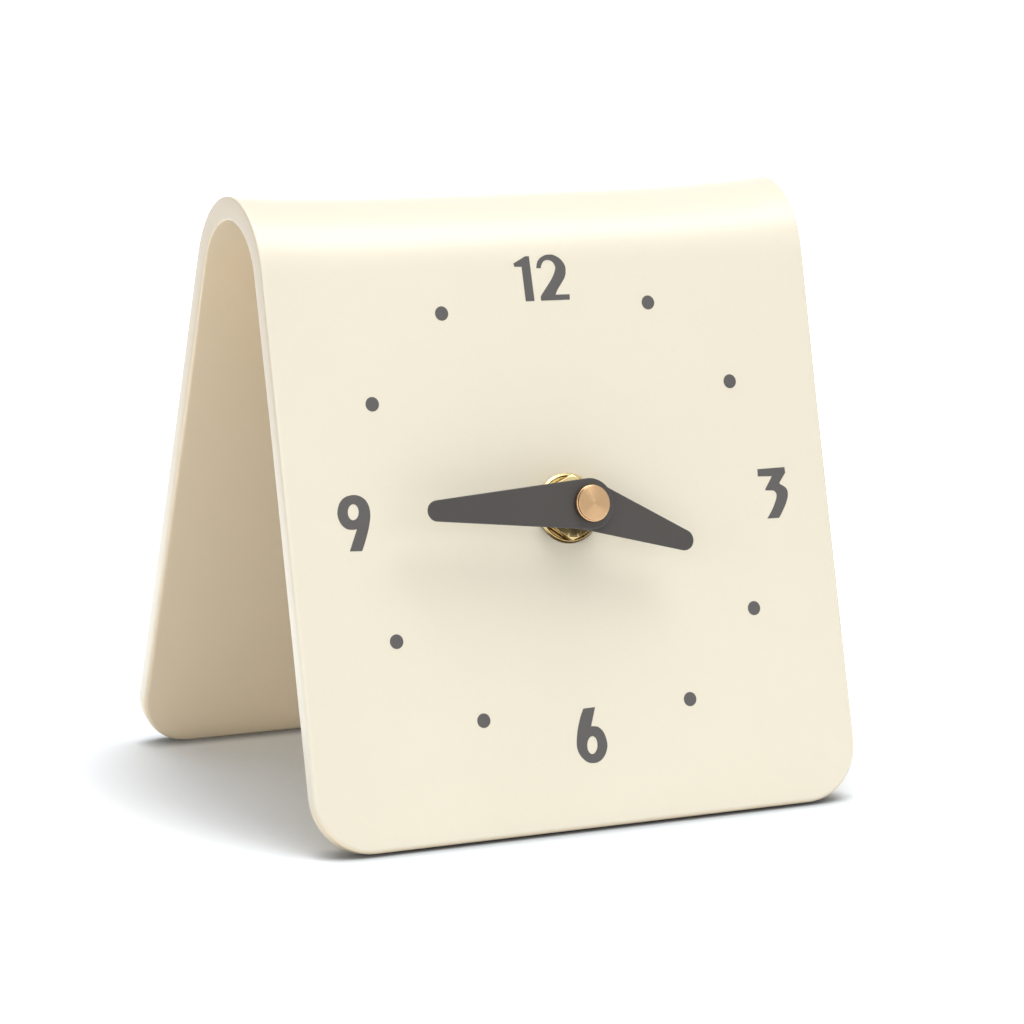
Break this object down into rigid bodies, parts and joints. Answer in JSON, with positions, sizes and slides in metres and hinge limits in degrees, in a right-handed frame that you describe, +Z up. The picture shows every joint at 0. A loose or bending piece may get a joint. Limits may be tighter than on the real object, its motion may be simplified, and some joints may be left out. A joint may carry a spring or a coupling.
{
  "type": "desk clock",
  "caption": "Free-standing desk clock: a lacquered sheet bent over a round crest into an A shape, with hands and a quartz movement on its front leg.",
  "frame": {"origin": "middle of the two feet on the surface the clock stands on, under the middle of its bounding box", "axes": "+X to the right as one reads the dial, +Y from the dial back to the rear leg, +Z up"},
  "size_m": [0.134, 0.1058, 0.1343],
  "materials": {
    "cream_lacquer": "satin",
    "black_rubber": "matte",
    "black_moulding": "matte",
    "grey_moulding": "matte",
    "brass": "polished",
    "copper_plate": "satin",
    "charcoal_lacquer": "matte",
    "white_acetal": "satin",
    "bright_steel": "satin",
    "magnet": "satin",
    "natural_nylon": "satin",
    "copper_wire": "satin",
    "circuit_board": "satin",
    "black_resin": "gloss",
    "battery_sleeve": "satin"
  },
  "bodies": {
    "clock_body": {"bent_plate": "cream_lacquer", "rubber_gasket": "black_rubber", "movement_case": "black_moulding", "rear_cover": "grey_moulding", "threaded_bush": "brass", "washer": "brass", "hex_nut": "brass", "train_plate": "white_acetal", "stator": "bright_steel", "coil_bobbin": "natural_nylon", "coil_winding": "copper_wire", "coil_core": "bright_steel", "circuit_board": "circuit_board", "driver_chip": "black_resin", "quartz_crystal": "bright_steel", "battery_contact_positive": "bright_steel", "battery_contact_negative": "bright_steel", "battery": "battery_sleeve"},
    "minute_body": {"minute_shaft": "brass", "minute_hand": "charcoal_lacquer", "cap_nut": "copper_plate"},
    "hour_body": {"hour_wheel": "white_acetal", "hour_hand": "charcoal_lacquer"},
    "setting_body": {"transfer_wheel": "white_acetal", "setting_knob": "black_moulding"},
    "rotor_body": {"rotor_magnet": "magnet", "rotor_pinion": "bright_steel"},
    "intermediate_body": {"intermediate_wheel": "white_acetal"},
    "seconds_body": {"seconds_wheel": "white_acetal"},
    "third_body": {"third_wheel": "white_acetal"},
    "centre_body": {"centre_wheel": "white_acetal", "clutch_spring": "bright_steel"}
  },
  "joints": [
    {"name": "minute_turn", "type": "hinge", "parent": "clock_body", "child": "minute_body", "pos_m": [0, -0.03315, 0.06799], "axis": [0, -0.9583, 0.2857], "continuous": true},
    {"name": "hour_turn", "type": "hinge", "parent": "clock_body", "child": "hour_body", "pos_m": [0, -0.03315, 0.06799], "axis": [0, -0.9583, 0.2857], "continuous": true},
    {"name": "setting_turn", "type": "hinge", "parent": "clock_body", "child": "setting_body", "pos_m": [-0.00423, -0.03057, 0.07668], "axis": [0, -0.9583, 0.2857], "continuous": true},
    {"name": "rotor_turn", "type": "hinge", "parent": "clock_body", "child": "rotor_body", "pos_m": [0.01013, -0.03021, 0.07788], "axis": [0, -0.9583, 0.2857], "continuous": true},
    {"name": "intermediate_turn", "type": "hinge", "parent": "clock_body", "child": "intermediate_body", "pos_m": [0.00888, -0.03223, 0.07109], "axis": [0, -0.9583, 0.2857], "continuous": true},
    {"name": "seconds_turn", "type": "hinge", "parent": "clock_body", "child": "seconds_body", "pos_m": [0, -0.03315, 0.06799], "axis": [0, -0.9583, 0.2857], "continuous": true},
    {"name": "third_turn", "type": "hinge", "parent": "clock_body", "child": "third_body", "pos_m": [-0.00922, -0.03362, 0.06643], "axis": [0, -0.9583, 0.2857], "continuous": true},
    {"name": "centre_turn", "type": "hinge", "parent": "clock_body", "child": "centre_body", "pos_m": [0, -0.03315, 0.06799], "axis": [0, -0.9583, 0.2857], "continuous": true}
  ],
  "couplings": [
    {"joint": "hour_turn", "follows": "minute_turn", "ratio": 0.083333},
    {"joint": "setting_turn", "follows": "minute_turn", "ratio": -0.33333},
    {"joint": "intermediate_turn", "follows": "rotor_turn", "ratio": -0.2},
    {"joint": "seconds_turn", "follows": "rotor_turn", "ratio": 0.033333},
    {"joint": "third_turn", "follows": "rotor_turn", "ratio": -0.0044444},
    {"joint": "centre_turn", "follows": "rotor_turn", "ratio": 0.00055556}
  ]
}
